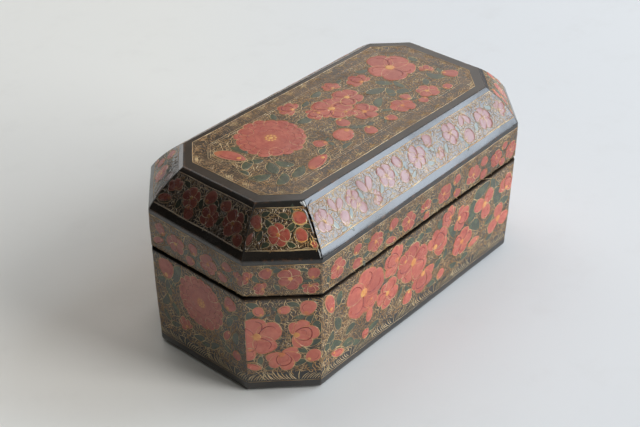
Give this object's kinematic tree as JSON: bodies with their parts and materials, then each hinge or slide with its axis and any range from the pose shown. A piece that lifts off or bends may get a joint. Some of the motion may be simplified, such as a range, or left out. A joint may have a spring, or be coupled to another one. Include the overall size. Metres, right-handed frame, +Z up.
{
  "type": "papier mache box",
  "caption": "Papier mache keepsake box with an eight-sided plan and a bevelled lift-off lid, lacquered and painted all over with flowers and gilt scrolls.",
  "frame": {"origin": "middle of the underside, on the surface the box stands on", "axes": "+X along the box's length, +Y across its width, +Z up through the lid. The long side on -Y and the end on -X are the two that the picture shows."},
  "size_m": [0.18, 0.096, 0.084],
  "materials": {
    "lacquered_board": "gloss",
    "lip_board": "satin",
    "bare_board": "satin",
    "rose_paint": "gloss",
    "leaf_paint": "gloss",
    "gilt_paint": "satin"
  },
  "bodies": {
    "base": {"floor_board": "bare_board", "wall_right": "lacquered_board", "wall_back_right": "lacquered_board", "wall_back": "lacquered_board", "wall_back_left": "lacquered_board", "wall_left": "lacquered_board", "wall_front_left": "lacquered_board", "wall_front": "lacquered_board", "wall_front_right": "lacquered_board", "lip_right": "lip_board", "lip_back_right": "lip_board", "lip_back": "lip_board", "lip_back_left": "lip_board", "lip_left": "lip_board", "lip_front_left": "lip_board", "lip_front": "lip_board", "lip_front_right": "lip_board"},
    "lid": {"top_board": "lacquered_board", "rim_right": "lacquered_board", "rim_back_right": "lacquered_board", "rim_back": "lacquered_board", "rim_back_left": "lacquered_board", "rim_left": "lacquered_board", "rim_front_left": "lacquered_board", "rim_front": "lacquered_board", "rim_front_right": "lacquered_board", "slope_right": "lacquered_board", "slope_back_right": "lacquered_board", "slope_back": "lacquered_board", "slope_back_left": "lacquered_board", "slope_left": "lacquered_board", "slope_front_left": "lacquered_board", "slope_front": "lacquered_board", "slope_front_right": "lacquered_board"}
  },
  "joints": [
    {"name": "lid_lift", "type": "slide", "parent": "base", "child": "lid", "axis": [0, 0, 1], "range_m": [0, 0.1]}
  ]
}
